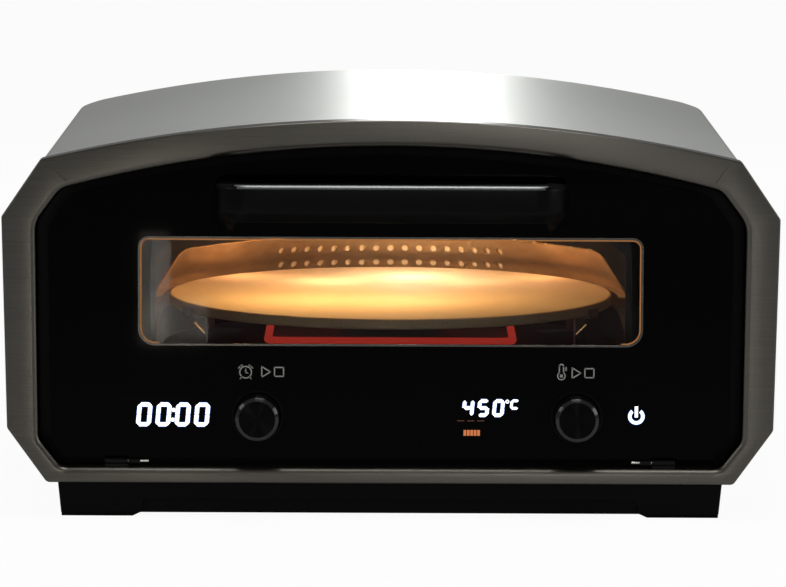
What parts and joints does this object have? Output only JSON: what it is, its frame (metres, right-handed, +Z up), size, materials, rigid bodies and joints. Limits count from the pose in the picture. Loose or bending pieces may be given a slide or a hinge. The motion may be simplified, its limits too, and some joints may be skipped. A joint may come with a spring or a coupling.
{
  "type": "electric pizza oven",
  "caption": "Countertop electric pizza maker: arched steel case, drop-down glass door with handle, window, displays and push-turn knobs, round stone between heating tubes.",
  "frame": {"origin": "middle of the rest plane under the feet, below the middle of the whole object", "axes": "+X to the right as the user faces the door, +Y to the back, +Z up"},
  "size_m": [0.5, 0.493, 0.2587],
  "materials": {
    "brushed_steel_dark": "dark brushed stainless steel sheet",
    "brushed_steel_light": "brushed stainless steel sheet, grain front to back",
    "black_plastic": "moulded black plastic",
    "foot_rubber": "soft black rubber",
    "screw_steel": "plated steel",
    "bare_steel": "plain steel sheet",
    "black_enamel": "steel with baked black enamel",
    "hot_steel": "heat-tinted steel sheet",
    "cordierite": "fired cordierite stone",
    "element_tube": "sheathed heating tube, glowing red",
    "ceramic": "glazed ceramic",
    "mineral_wool": "mineral wool blanket",
    "lamp_glass": "halogen lamp bulb",
    "circuit_board": "lacquered circuit board with its parts",
    "standoff_nylon": "nylon stand-offs",
    "seal_fibre": "woven glass-fibre seal",
    "black_glass": "black back-printed toughened glass",
    "clear_glass": "clear toughened glass",
    "handle_black": "satin black coated aluminium",
    "display_black": "display module",
    "sensor_foil": "touch sensor spring pad",
    "pilot_orange": "orange light pipe",
    "knob_black": "turned aluminium, black anodised",
    "plunger_brass": "brass switch plunger"
  },
  "bodies": {
    "oven": {"front_frame": "brushed_steel_dark", "roof_panel": "brushed_steel_light", "left_side_panel": "brushed_steel_dark", "right_side_panel": "brushed_steel_dark", "rear_panel": "brushed_steel_dark", "bottom_plate": "brushed_steel_dark", "base_plinth": "black_plastic", "rubber_feet": "foot_rubber", "case_screws": "screw_steel", "bulkhead": "black_enamel", "mouth_liner": "hot_steel", "hood_seat": "hot_steel", "oven_hood": "hot_steel", "hood_crown": "hot_steel", "stone_pan": "hot_steel", "stone_rests": "hot_steel", "pizza_stone": "cordierite", "lower_element": "element_tube", "upper_element": "element_tube", "element_bushes": "ceramic", "terminal_plate": "bare_steel", "upper_element_clips": "bare_steel", "hood_blanket": "mineral_wool", "pan_blanket": "mineral_wool", "temperature_probe": "bare_steel", "oven_lamp": "lamp_glass", "lamp_holder": "ceramic", "power_board": "circuit_board", "board_posts": "standoff_nylon", "terminal_block": "ceramic", "cord_gland": "black_plastic", "door_seal": "seal_fibre", "hinge_brackets": "black_enamel", "hinge_pins": "screw_steel"},
    "door": {"door_glass": "black_glass", "window_trim": "bare_steel", "outer_window_pane": "clear_glass", "inner_window_pane": "clear_glass", "door_chassis": "black_plastic", "inner_door_panel": "bare_steel", "door_hinge_leaves": "black_enamel", "handle": "handle_black", "handle_screws": "screw_steel", "timer_display": "display_black", "heat_display": "display_black", "control_board": "circuit_board", "touch_pad": "sensor_foil", "pilot_light": "pilot_orange", "timer_ring": "knob_black", "heat_ring": "knob_black", "timer_encoder": "bare_steel", "heat_encoder": "bare_steel"},
    "timer_press": {"timer_plunger": "plunger_brass"},
    "timer_turn": {"timer_knob": "knob_black", "timer_shaft": "screw_steel"},
    "heat_press": {"heat_plunger": "plunger_brass"},
    "heat_turn": {"heat_knob": "knob_black", "heat_shaft": "screw_steel"}
  },
  "joints": [
    {"name": "door_hinge", "type": "hinge", "parent": "oven", "child": "door", "pos_m": [0, -0.2035, 0.0376], "axis": [1, 0, 0], "range_deg": [0, 80]},
    {"name": "timer_push", "type": "slide", "parent": "door", "child": "timer_press", "axis": [0, 1, 0], "range_m": [0, 0.0012], "stiffness_N_per_m": 400, "springref_m": -0.0015},
    {"name": "timer_spin", "type": "hinge", "parent": "timer_press", "child": "timer_turn", "pos_m": [-0.0854, -0.2085, 0.0675], "axis": [0, -1, 0], "continuous": true},
    {"name": "heat_push", "type": "slide", "parent": "door", "child": "heat_press", "axis": [0, 1, 0], "range_m": [0, 0.0012], "stiffness_N_per_m": 400, "springref_m": -0.0015},
    {"name": "heat_spin", "type": "hinge", "parent": "heat_press", "child": "heat_turn", "pos_m": [0.12, -0.2085, 0.0675], "axis": [0, -1, 0], "continuous": true}
  ]
}
